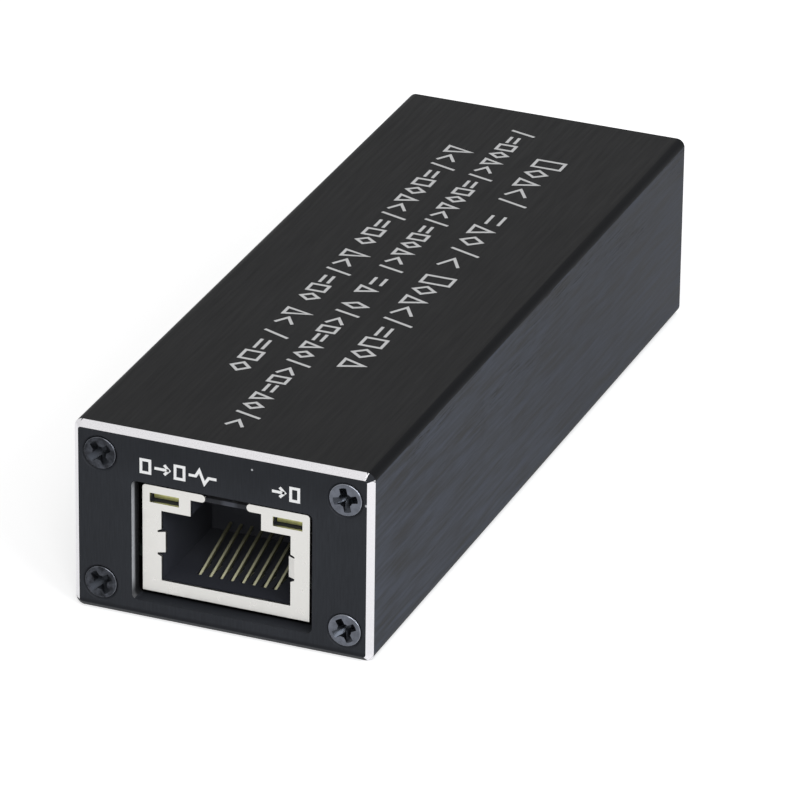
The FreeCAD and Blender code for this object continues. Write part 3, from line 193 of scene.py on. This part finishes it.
def make_anodised(name, colour, brushing, contrast, roughness, level, low=0.6, high=1.4):
    """Black anodised aluminium. brushing gives the streaks a millimetre along each axis, contrast how
    strongly they show between low and high times the colour, and level the gloss."""
    finish = Finish(name, colour, roughness, Specular_IOR_Level=level)
    streaks = finish.noise(brushing, detail=4.0, roughness=0.65)
    clouds = finish.span(finish.noise((0.1, 0.1, 0.1)), NOISE_LOW, NOISE_HIGH, start=0.4, end=0.6)
    lines = finish.math("MULTIPLY", finish.math("SUBTRACT", streaks, 0.5), contrast)
    finish.shade(finish.math("ADD", lines, clouds), low, high)
    finish.roughen(streaks, 0.85, 1.15)
    grain = finish.noise((11.0, 11.0, 11.0), detail=1.0)
    finish.bump(finish.math("ADD", lines, grain), 0.003)
    return finish


def make_anodised_side():
    """The sides are brushed along the case, with short dark scratches in groups, more of them high up.
    They are a little darker towards the rear."""
    finish = make_anodised("anodised_side", (0.025, 0.029, 0.039), brushing=(2.2, 0.14, 2.2), contrast=3.0,
                           roughness=0.45, level=0.053, low=0.3, high=1.7)
    scratches = finish.noise((4.0, 0.25, 4.0), detail=3.0, roughness=0.7)
    scratches = finish.span(scratches, 0.38, 0.48, start=1.0, end=0.0)
    groups = finish.span(finish.noise((0.3, 0.06, 0.3)), 0.4, 0.6)
    high_up = finish.span(finish.along("Z"), 8, 15, start=0.15)
    share = finish.math("MULTIPLY", finish.math("MULTIPLY", scratches, groups), high_up)
    finish.cover(share, (0.004, 0.004, 0.005))
    rear = finish.span(finish.along("Y"), CASE_LOW.y, CASE_HIGH.y, end=0.25)
    finish.cover(rear, (0.008, 0.008, 0.008))
    return finish


def make_anodised_panel():
    """The end panels: a paler band along the bottom that is a painted reflection of the table, a soft
    painted shade line above it, a darker top, and two tiny chips.
    """
    finish = make_anodised("anodised_panel", (0.0245, 0.0265, 0.031), brushing=(7, 7, 0.5), contrast=1.0,
                           roughness=0.5, level=0.07)
    height = finish.along("Z")
    # a paler band along the bottom: a painted reflection of the table
    foot = finish.span(height, 0.1, 0.6, start=0.5, end=0.0)
    finish.cover(foot, (0.055, 0.056, 0.062))
    # a soft dark line above it: painted shade
    shade_line_height = 0.72
    painted_shade_line = finish.span(finish.away(height, shade_line_height), 0.05, 0.28, start=0.75, end=0.0)
    finish.cover(painted_shade_line, (0.012, 0.0125, 0.015))
    top = finish.span(height, 13.0, 16.0, end=0.3)
    finish.cover(top, (0.008, 0.0085, 0.01))
    for x, z, radius in ((2.84, 16.46, 0.12), (13.4, 15.1, 0.16)):
        finish.cover(finish.spot((x, FRONT_FACE, z), radius), (0.45, 0.46, 0.48))
    return finish


def make_bare(name, colour, roughness, metallic, lines_per_mm):
    """Bare aluminium where a tool has cut through the anodised skin."""
    finish = Finish(name, colour, roughness, metallic)
    lines = finish.noise(lines_per_mm)
    finish.shade(lines, 0.9, 1.08)
    finish.roughen(lines, 0.85, 1.2)
    finish.bump(lines, 0.001)
    return finish


def make_bare_milled():
    """Side walls of the panel cut-outs: bare near the outer face, with painted shade further in and at their
    ends.
    The cut-outs' middle is 1 mm below that of the case."""
    finish = make_bare("bare_milled", (0.42, 0.43, 0.45), roughness=0.6, metallic=0.3,
                       lines_per_mm=(1, 1, 5))
    # painted shade: black where the wall lies deeper in the gap and towards its ends
    painted_shade_black = (0.014, 0.0145, 0.016)
    depth = finish.math("SUBTRACT", CASE_HIGH.y + PANEL_THICK, finish.math("ABSOLUTE", finish.along("Y")))
    finish.cover(finish.span(depth, 0.45, 0.8), painted_shade_black)
    wall_middle = (CASE_HIGH.z + CASE_LOW.z) / 2 - 1
    ends = finish.span(finish.away(finish.along("Z"), wall_middle), 4.2, 5.6, end=0.8)
    finish.cover(ends, painted_shade_black)
    return finish


def make_metal(name, colour, roughness, grain, bump_mm, spread=0.06, metallic=1.0):
    """Bare or plated metal with a fine grain."""
    finish = Finish(name, colour, roughness, metallic)
    texture = finish.noise(grain)
    finish.shade(texture, 1 - spread, 1 + spread)
    finish.roughen(texture, 0.8, 1.25)
    finish.bump(texture, bump_mm)
    return finish


def make_moulding(name, colour, roughness, grain, bump_mm, spread=0.2):
    """Moulded plastic, epoxy or ceramic."""
    finish = Finish(name, colour, roughness)
    texture = finish.noise((grain, grain, grain))
    finish.shade(texture, 1 - spread, 1 + spread)
    finish.roughen(texture, 0.85, 1.15)
    finish.bump(texture, bump_mm)
    return finish


def make_jack_plastic():
    """Black glass-filled moulding, with painted shade at its face, painted light deep inside, and a faint
    painted bluish reflection at the latch.
    """
    finish = Finish("jack_plastic", (0.030, 0.032, 0.040), 0.5, Specular_IOR_Level=0.2)
    texture = finish.noise((12.0, 12.0, 12.0))
    finish.shade(texture, 0.8, 1.2)
    # painted light deep inside the jack
    inside = finish.span(finish.along("Y"), JACK_FACE + 3, JACK_FACE + 12)
    finish.cover(inside, (0.07, 0.074, 0.086))
    # painted shade at the jack's face
    front = finish.span(finish.along("Y"), JACK_FACE, JACK_FACE + 0.3, start=0.7, end=0.0)
    finish.cover(front, (0.010, 0.011, 0.014))
    # a faint painted bluish reflection at the latch
    latch, latch_reflection_radius = (0.2, JACK_FACE, 12.1), 0.85
    painted_latch_reflection = finish.math("MULTIPLY", finish.spot(latch, latch_reflection_radius), 0.8)
    finish.cover(painted_latch_reflection, (0.07, 0.075, 0.092))
    finish.bump(texture, 0.004)
    return finish


def make_jack_plating():
    """Gold plating on the network contacts, bright along their crowns and at their front bends, with painted
    shade towards their sides and further in."""
    finish = Finish("gold_painted_shade", (0.92, 0.90, 0.60), 0.5, metallic=0.3)
    texture = finish.noise((6, 1, 6))
    finish.shade(texture, 0.9, 1.08)
    half_pitch = CONTACT_PITCH / 2
    # painted shade further into the jack
    shade_further_in = finish.span(finish.along("Y"), CONTACT_BEND + 0.4, CONTACT_BEND + 5.6, end=0.9)
    crown = finish.math("PINGPONG", finish.along("X"), half_pitch)
    sides = finish.span(crown, half_pitch - 0.1, half_pitch - 0.05, start=0.8, end=0.0)
    past_bend = finish.span(finish.along("Y"), CONTACT_BEND + 0.4, CONTACT_BEND + 2.0, start=0.3)
    # painted shade on the contacts' sides and further in, laid on as a dark colour
    painted_contact_shade = finish.math("MAXIMUM", shade_further_in, finish.math("MULTIPLY", sides, past_bend))
    finish.cover(painted_contact_shade, (0.07, 0.068, 0.04))
    finish.bump(texture, 0.001)
    return finish


def lighter_to_the_right(finish, most=1.0):
    """A share that is 0 on the left screws and most on the right ones, whose lighter colour is a painted
    reflection.
    """
    return finish.span(finish.along("X"), -3, 3, end=most)


def make_screw_plating(name, colour, roughness, low, high):
    """Black plated steel, from low times its colour on the left screws to high times on the right ones, a
    painted reflection.
    """
    finish = Finish(name, colour, roughness, metallic=0.9)
    texture = finish.noise((7.0, 7.0, 7.0))
    blotches = finish.span(finish.noise((1.6, 1.6, 1.6), detail=3.0), 0.35, 0.65)
    both = finish.math("ADD", finish.math("MULTIPLY", texture, 0.15), finish.math("MULTIPLY", blotches, 0.3))
    # lighter on the right screws: painted reflection
    finish.shade(finish.math("ADD", lighter_to_the_right(finish, most=0.6), both), low, high)
    finish.roughen(texture, 0.8, 1.2)
    finish.bump(texture, 0.002)
    return finish


def make_screw_recess():
    """The cross recess of a screw: darker than the head as painted shade, lighter on the right screws as a
    painted reflection, and rougher on the left screws while polished by a driver on the right ones.
    """
    # the recess's dark colour is painted shade
    finish = Finish("screw_recess", (0.028, 0.031, 0.037), 0.22, metallic=0.9)
    texture = finish.noise((8.0, 8.0, 8.0))
    right_share = lighter_to_the_right(finish)
    both = finish.math("ADD", finish.math("MULTIPLY", texture, 0.3), finish.math("MULTIPLY", right_share, 0.7))
    # lighter on the right screws: painted reflection
    finish.shade(both, 0.9, 1.5)
    finish.feed("Roughness", finish.span(right_share, 0, 1, start=0.5, end=0.22))
    finish.bump(texture, 0.002)
    return finish


def make_lamp_epoxy():
    """Tinted epoxy, with painted light along its top, painted shade below, and a painted glow where that
    painted light is strongest.
    """
    finish = Finish("lamp", (0.66, 0.66, 0.26), 0.3, Coat_Weight=0.3, Coat_Roughness=0.1)
    # painted light along the top and painted shade below
    painted_light_top = finish.span(finish.along("Z"), LAMP_TOP - 0.75, LAMP_TOP - 0.2, end=0.7)
    cloud = finish.math("MULTIPLY", finish.noise((0.9, 0.9, 0.9)), 0.6)
    light = finish.math("ADD", painted_light_top, cloud)
    finish.shade(light, 0.04, 1.5)
    # a painted glow that follows the painted light
    finish.feed("Emission Color", opaque((0.5, 0.5, 0.16)))
    finish.feed("Emission Strength", finish.span(light, 0.5, 1.0, end=0.5))
    finish.feed("Subsurface Weight", 0.3)
    finish.feed("Subsurface Radius", (0.6 * MM, 0.6 * MM, 0.2 * MM))
    finish.feed("Subsurface Scale", 1.0)
    finish.bump(finish.noise((4.0, 4.0, 4.0), detail=1.0), 0.002)
    return finish


def make_board_mask():
    """Black solder mask over copper tracks."""
    finish = Finish("board", (0.012, 0.017, 0.015), 0.35)
    bricks = {"Vector": finish.place((0.45, 0.45, 0.45)), "Scale": 1.0, "Mortar Size": 0.06,
              "Brick Width": 1.7, "Row Height": 0.8}
    tracks = finish.add("TexBrick", bricks, "Fac")
    finish.shade(tracks, 0.85, 1.6)
    finish.bump(tracks, 0.03)
    return finish


def make_ink(name, level):
    """Grey ink: level is its lightness."""
    finish = Finish(name, (level, level, level), 0.6)
    grain = finish.noise((9.0, 9.0, 9.0))
    finish.shade(grain, 0.86, 1.1)
    finish.bump(grain, 0.002)
    return finish


# the finishes of the case, in the order of the material numbers below
CASE_FINISHES = [
    make_anodised("anodised_flat", (0.0095, 0.0096, 0.0102), brushing=(3, 0.12, 3), contrast=0.5,
                  roughness=0.5, level=0.055),
    # the sides: lighter than the top as painted light, on top of their real brushing
    make_anodised_side(),
    # the long rounded edges: darker as a painted dark reflection
    make_anodised("anodised_edge", (0.004, 0.0044, 0.0055), brushing=(7, 0.12, 7), contrast=0.5,
                  roughness=0.4, level=0.035),
    # the panel faces: lighter than the top as painted light
    make_anodised_panel(),
    make_bare("bare_bevel", (0.71, 0.70, 0.72), roughness=0.3, metallic=1.0, lines_per_mm=(9, 9, 9)),
    make_bare_milled(),
]
FLAT, SIDE, EDGE, PANEL, BEVEL, MILLED = range(len(CASE_FINISHES))

# the record's other slots: after its colour, a metal or moulding has its roughness, its grain a millimetre
# and its relief in millimetres
SLOT_FINISHES = {
    "screw_black": make_screw_plating("screw_black", (0.094, 0.101, 0.120), 0.3, low=0.08, high=1.4),
    "nickel": make_metal("nickel", (0.64, 0.63, 0.605), 0.32, (1.2, 1.2, 1.2), 0.0003, spread=0.03),
    "black_plastic": make_moulding("black_plastic", (0.022, 0.023, 0.028), 0.5, 12, 0.004),
    "gold": make_metal("gold", (0.95, 0.92, 0.66), 0.5, (6, 1, 6), 0.001, metallic=0.3),
    "lamp": make_lamp_epoxy(),
    "tinned": make_metal("tinned", (0.72, 0.73, 0.74), 0.34, (9, 0.3, 9), 0.002),
    "spring_steel": make_metal("spring_steel", (0.70, 0.70, 0.68), 0.28, (9, 0.5, 9), 0.001),
    "board": make_board_mask(),
    "package": make_moulding("package", (0.02, 0.02, 0.022), 0.55, 10, 0.006),
    "crystal_can": make_metal("crystal_can", (0.62, 0.62, 0.60), 0.3, (8, 1, 8), 0.001),
    "ferrite": make_moulding("ferrite", (0.09, 0.09, 0.095), 0.6, 8, 0.01),
    "capacitor_can": make_metal("capacitor_can", (0.78, 0.78, 0.78), 0.22, (1, 1, 9), 0.001),
    "ceramic": make_moulding("ceramic", (0.42, 0.31, 0.20), 0.5, 12, 0.002),
    "resistor": make_moulding("resistor", (0.03, 0.03, 0.032), 0.35, 9, 0.002),
}


# ---- the CAD nodes get their finishes ----

# in millimetres
SKIN_DEPTH = 0.3        # a face nearer than this to the case's outside belongs to it
BEVEL_DEPTH = 0.6       # and the bevel's faces are nearer than this
CUT_OUT_REACH = 9       # the panel's cut-outs lie within this of its middle
HEAD_RADIUS, RIM_WIDTH, RIM_DEPTH = 1.55, 0.1, 0.2
RECESS_RADIUS, RECESS_START, RECESS_DEPTH = 1.17, 0.02, 1.02
# a normal's part along an axis
STRAIGHT = 0.99         # a flat face that looks along the axis
OUTWARD = 0.9           # a panel's face, with its countersinks left out
SLOPE_LOW, SLOPE_HIGH = 0.6, 0.8
SLANT = 0.69            # a straight length of the 45 degree bevel
CORNER = 0.2            # one of the bevel's round corners
SIDEWAYS = 0.5          # a side wall in a cut-out
SHEARED = 0.7           # a contact's sheared side


def dress(name, finishes, choose=None):
    """Gives a node its finishes. choose tells from a face's middle and normal which one it takes."""
    mesh = frame["nodes"][name].data
    mesh.materials.clear()
    for finish in finishes:
        mesh.materials.append(finish.material)
    if choose:
        for face in mesh.polygons:
            face.material_index = choose(face.center / MM, face.normal)


def inset(middle):
    """How far a place lies inside the nearest long side of the case."""
    return min(middle.x - CASE_LOW.x, CASE_HIGH.x - middle.x, middle.z - CASE_LOW.z, CASE_HIGH.z - middle.z)


def case_skin(middle, normal):
    """The sleeve: plain inside, at the top and below, with its own finish on the sides and long edges."""
    if inset(middle) > SKIN_DEPTH or abs(normal.z) > STRAIGHT:
        return FLAT
    return SIDE if abs(normal.x) > STRAIGHT else EDGE


def panel_skin(middle, normal):
    """An end panel: its face, a bare bevel at the top and sides, and bare side walls in its cut-outs.
    Of the bevel's round corners only the top left and bottom right ones are bare; the other corners take the
    dark face finish as a painted dark reflection, and the bevel along the bottom as painted shade."""
    across, out = abs(normal.x), abs(normal.y)
    if SLOPE_LOW < out < SLOPE_HIGH and inset(middle) < BEVEL_DEPTH:
        # the dark face finish on the bevel is painted: shade along the bottom, a dark reflection in the
        # other corners
        bare_corner = across > CORNER and middle.x * normal.z < 0
        return BEVEL if across > SLANT or normal.z > SLANT or bare_corner else PANEL
    if out > OUTWARD:
        return PANEL
    if inset(middle) < SKIN_DEPTH:
        return case_skin(middle, normal)
    return MILLED if across > SIDEWAYS and abs(middle.x) < CUT_OUT_REACH else PANEL


def screw_skin(middle, normal):
    """A screw: 0 its head, 1 its cross recess, darker as painted shade, 2 its rim, lighter as a painted
    highlight.
    """
    depth = CASE_HIGH.y + PANEL_THICK - abs(middle.y)
    across = abs(middle.x) - SCREWS_HIGH.x + HEAD_RADIUS
    level = (SCREWS_LOW.z + SCREWS_HIGH.z) / 2
    up = abs(middle.z - level) - (SCREWS_HIGH.z - SCREWS_LOW.z) / 2 + HEAD_RADIUS
    away = math.hypot(across, up)
    if RECESS_START < depth < RECESS_DEPTH and away < RECESS_RADIUS:
        return 1
    return 2 if depth < RIM_DEPTH and away > HEAD_RADIUS - RIM_WIDTH and abs(normal.y) < STRAIGHT else 0


def contact_skin(middle, normal):
    """A contact: 0 its plated faces, 1 its sides, which take a dark finish as painted shade."""
    return int(abs(normal.x) > SHEARED)


def dress_nodes():
    """Each node takes the finish of its slot, and the case, screws, jack and contacts get their own."""
    for row in frame["record"]["subparts"]:
        if row["material_slot"] != "anodised":
            dress(row["node"], [SLOT_FINISHES[row["material_slot"]]])
    dress("housing_sleeve", CASE_FINISHES, case_skin)
    for name in ("front_panel", "rear_panel"):
        dress(name, CASE_FINISHES, panel_skin)
    # the rim's lighter colour is a painted highlight
    rim = make_screw_plating("screw_rim", (0.20, 0.21, 0.24), 0.2, low=0.25, high=1.25)
    screw_finishes = [SLOT_FINISHES["screw_black"], make_screw_recess(), rim]
    for name in ("front_panel_screws", "rear_panel_screws"):
        dress(name, screw_finishes, screw_skin)
    dress("rj45_housing", [make_jack_plastic()])
    # the contacts' sides take a dark gold that is painted shade
    shaded_sides = make_metal("gold_shaded_sides", (0.10, 0.095, 0.05), 0.6, (9, 1, 9), 0.002, metallic=0.3)
    for name, plating in (("rj45_contacts", make_jack_plating()),
                          ("sfp_connector_contacts", SLOT_FINISHES["gold"]),
                          ("usb_c_contacts", SLOT_FINISHES["gold"])):
        dress(name, [plating, shaded_sides], contact_skin)


# ---- print: rows of plain marks ----

INK_THICK = 0.012 * MM
MITRE_LIMIT = 0.4       # keeps the outer corner of a sharp turn from running out far
MARKS = ("square", "diamond", "slash", "dashes", "triangle", "angle")
MARK_GAP = 0.2          # share of a mark's cell that stays free
LOW_MARK = 0.76         # height of a mark inside a word, as a share of its first mark's
SLASH_NARROWER = 0.25

# each row: its name, the middle of its foot across the case, the height of its marks, how far behind the
# case's middle it starts, and the start, end and number of marks of its words, all in millimetres
TOP_ROWS = [
    ("print_row_right", 2.85, 3.05, 28.95, [(0, 11.75, 5), (13.55, 26.25, 5), (27.9, 49.4, 9)]),
    ("print_row_middle", -1.7, 2.5, 34.55, [(0, 34.9, 19), (36.0, 40.0, 2), (41.5, 69.5, 15)]),
    ("print_row_left", -5.9, 2.6, 28.65, [(0, 24.35, 12), (25.45, 37.45, 6), (38.95, 42.85, 2),
                                          (43.6, 53.35, 4)]),
]
TOP_LINE = 0.3

# each label over a lamp: its name, its left end, and its marks with their widths
LABELS = [
    ("print_label_left", -7.66, [("square", 1.1), ("arrow", 1.5), ("square", 1.1), ("pulse", 2.6)]),
    ("print_label_right", 4.7, [("arrow", 1.3), ("square", 1.0)]),
]
LABEL_FOOT, LABEL_HEIGHT, LABEL_LINE, LABEL_GAP = 14.12, 1.45, 0.26, 0.3


class Print:
    """Flat marks of even line width on a plane: u runs along the row, v up the marks."""

    def __init__(self, name, origin, along, up):
        self.name = name
        self.origin, self.along, self.up = Vector(origin) * MM, Vector(along), Vector(up)
        self.out = self.along.cross(self.up)
        self.mesh = bmesh.new()

    def corner(self, point, height):
        """A vertex over the point (u, v)."""
        flat = (self.along * point.x + self.up * point.y) * MM
        return self.mesh.verts.new(self.origin + flat + self.out * height)

    def band(self, path, width, closed=False):
        """A raised band of even width along a path of (u, v) points."""
        points = [Vector(point) for point in path]
        rings = []
        for i, here in enumerate(points):
            ways = []
            if closed or i > 0:
                ways.append((here - points[i - 1]).normalized())
            if closed or i < len(points) - 1:
                ways.append((points[(i + 1) % len(points)] - here).normalized())
            middle = sum(ways, Vector((0, 0))).normalized()
            across = Vector((-middle.y, middle.x)) * width / 2 / max(middle.dot(ways[0]), MITRE_LIMIT)
            rings.append([self.corner(here + across, 0), self.corner(here + across, INK_THICK),
                          self.corner(here - across, INK_THICK), self.corner(here - across, 0)])
        pairs = list(zip(rings, rings[1:] + rings[:1]))
        for first, second in pairs if closed else pairs[:-1]:
            for side in range(4):
                other = (side + 1) % 4
                self.mesh.faces.new((first[side], second[side], second[other], first[other]))
        if not closed:
            self.mesh.faces.new(rings[0])
            self.mesh.faces.new(reversed(rings[-1]))

    def mark(self, kind, u, v, wide, high, width):
        """One mark in the cell from (u, v): a plain shape with the line width given."""
        half = width / 2
        left, right, low, top = u + half, u + wide - half, v + half, v + high - half
        centre, level = (left + right) / 2, (low + top) / 2
        if kind == "square":
            self.band([(left, low), (right, low), (right, top), (left, top)], width, closed=True)
        elif kind == "triangle":
            self.band([(left, low), (right, low), (centre, top)], width, closed=True)
        elif kind == "diamond":
            self.band([(left, level), (centre, low), (right, level), (centre, top)], width, closed=True)
        elif kind == "slash":
            self.band([(left, v), (right, v + high)], width)
        elif kind == "angle":
            self.band([(right, top), (left, level), (right, low)], width)
        elif kind == "dashes":
            for share in (0.3, 0.7):
                self.band([(u, v + high * share), (u + wide, v + high * share)], width)
        elif kind == "arrow":
            barb = 0.32 * high
            self.band([(u, level), (right, level)], width)
            self.band([(right - barb, level + barb), (right, level), (right - barb, level - barb)], width)
        elif kind == "pulse":
            step, swing = wide / 6, (top - low) / 2
            steps = ((0, 0), (1.5, 0), (2.3, 1), (3.4, -1), (4.3, 0), (6, 0))
            self.band([(u + step * i, level + swing * j) for i, j in steps], width)

    def row(self, words, height, width, turn):
        """A row of words of marks. turn tells which mark comes first, and the next are one or three on."""
        for start, end, count in words:
            cell = (end - start) / count
            gap = MARK_GAP * cell
            for i in range(count):
                kind = MARKS[turn % len(MARKS)]
                turn += 3 if i % 2 else 1
                high = height if i == 0 or kind == "slash" else LOW_MARK * height
                narrow = SLASH_NARROWER * cell if kind == "slash" else 0
                self.mark(kind, start + i * cell + gap / 2 + narrow / 2, 0, cell - gap - narrow, high, width)

    def close(self, body, slot, ink):
        """Turns the marks into a piece that rides on a body."""
        bmesh.ops.recalc_face_normals(self.mesh, faces=self.mesh.faces)
        data = bpy.data.meshes.new(self.name)
        self.mesh.to_mesh(data)
        self.mesh.free()
        data.materials.append(ink.material)
        piece = bpy.data.objects.new(self.name, data)
        bpy.context.scene.collection.objects.link(piece)
        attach(piece, body)


def print_top():
    """The rows of marks on top of the case."""
    ink = make_ink("print_ink", 0.56)
    for turn, (name, x, height, y, words) in enumerate(TOP_ROWS):
        sheet = Print(name, (x, y, CASE_HIGH.z), (0, -1, 0), (1, 0, 0))
        sheet.row(words, height, TOP_LINE, 2 * turn)
        sheet.close("root", "anodised", ink)


def print_labels():
    """The marks over the jack's lamps."""
    ink = make_ink("label_ink", 0.8)
    for name, x, marks in LABELS:
        sheet = Print(name, (x, FRONT_FACE, LABEL_FOOT), (1, 0, 0), (0, 0, 1))
        u = 0
        for kind, wide in marks:
            sheet.mark(kind, u, 0, wide, LABEL_HEIGHT, LABEL_LINE)
            u += wide + LABEL_GAP
        sheet.close("root", "anodised", ink)


# ---- studio ----

WHITE = (1.0, 1.0, 1.0)
FLOOR_SIZE, FLOOR_GAP = 6, 0.02 * MM
FLOOR_GREY, FLOOR_GLOW = 0.82, 0.5
WORLD_LIGHT = 0.45
# angles are in degrees, distances and sizes in metres, and powers in watts
LAMPS = {
    "key_lamp": dict(azimuth=62, elevation=28, distance=0.7, size=0.4, power=2.2, colour=(0.92, 0.95, 1.0)),
    "front_lamp": dict(azimuth=18, elevation=40, distance=0.9, size=0.5, power=2.8, colour=WHITE),
}
CAMERA_AZIMUTH, CAMERA_ELEVATION, CAMERA_ROLL = 21.734, 25.857, 0.72
CAMERA_AIM = (1.24, -1.11, 5.92)    # in millimetres
CAMERA_DISTANCE = 0.6182
CAMERA_SENSOR, CAMERA_LENS = 36.0, 306.8
CAMERA_NEAR, CAMERA_FAR = 0.01, 20.0


def towards(azimuth, elevation):
    """Direction away from the object. Azimuth 0 is in front of it and 90 to its right."""
    a, e = math.radians(azimuth), math.radians(elevation)
    return Vector((math.sin(a) * math.cos(e), -math.cos(a) * math.cos(e), math.sin(e)))


def make_floor():
    """A pale floor that stays white to the camera and in reflections, and keeps the shadow."""
    finish = Finish("floor", (FLOOR_GREY, FLOOR_GREY, FLOOR_GREY), 0.9, Specular_IOR_Level=0.0)
    finish.feed("Emission Color", opaque(WHITE))
    finish.feed("Emission Strength", finish.math("MULTIPLY", finish.seen(), FLOOR_GLOW))
    bpy.ops.mesh.primitive_plane_add(size=FLOOR_SIZE)
    floor = bpy.context.object
    floor.name = "floor"
    floor.location.z = cad_low.z - FLOOR_GAP
    floor.data.materials.append(finish.material)


def make_world():
    """Grey soft light on the object, and white to the camera and in reflections."""
    world = bpy.data.worlds.new("studio")
    world.use_nodes = True
    bpy.context.scene.world = world
    nodes = Nodes(world.node_tree)
    background = nodes.tree.nodes["Background"]
    nodes.link(background.inputs["Color"], opaque(WHITE))
    nodes.link(background.inputs["Strength"], nodes.span(nodes.seen(), 0, 1, start=WORLD_LIGHT))


def add_lamp(name, azimuth, elevation, distance, size, power, colour):
    """A soft round lamp that faces the object."""
    back = towards(azimuth, elevation)
    light = bpy.data.lights.new(name, "AREA")
    light.shape, light.size, light.energy, light.color = "DISK", size, power, colour
    lamp = bpy.data.objects.new(name, light)
    lamp.location = (cad_low + cad_high) / 2 + back * distance
    lamp.rotation_euler = back.to_track_quat("Z", "Y").to_euler()
    bpy.context.scene.collection.objects.link(lamp)


def make_camera():
    """The camera, in front of the object, to its right and above it, with a long lens."""
    data = bpy.data.cameras.new("camera")
    data.sensor_width, data.lens = CAMERA_SENSOR, CAMERA_LENS
    data.clip_start, data.clip_end = CAMERA_NEAR, CAMERA_FAR
    camera = bpy.data.objects.new("camera", data)
    back = towards(CAMERA_AZIMUTH, CAMERA_ELEVATION)
    camera.location = Vector(CAMERA_AIM) * MM + back * CAMERA_DISTANCE
    camera.rotation_mode = "QUATERNION"
    roll = Quaternion((0, 0, 1), math.radians(CAMERA_ROLL))
    camera.rotation_quaternion = back.to_track_quat("Z", "Y") @ roll
    bpy.context.scene.collection.objects.link(camera)
    bpy.context.scene.camera = camera


dress_nodes()
print_top()
print_labels()
make_floor()
make_world()
for lamp_name, lamp_values in LAMPS.items():
    add_lamp(lamp_name, **lamp_values)
make_camera()
bpy.context.scene.view_settings.view_transform = "Standard"
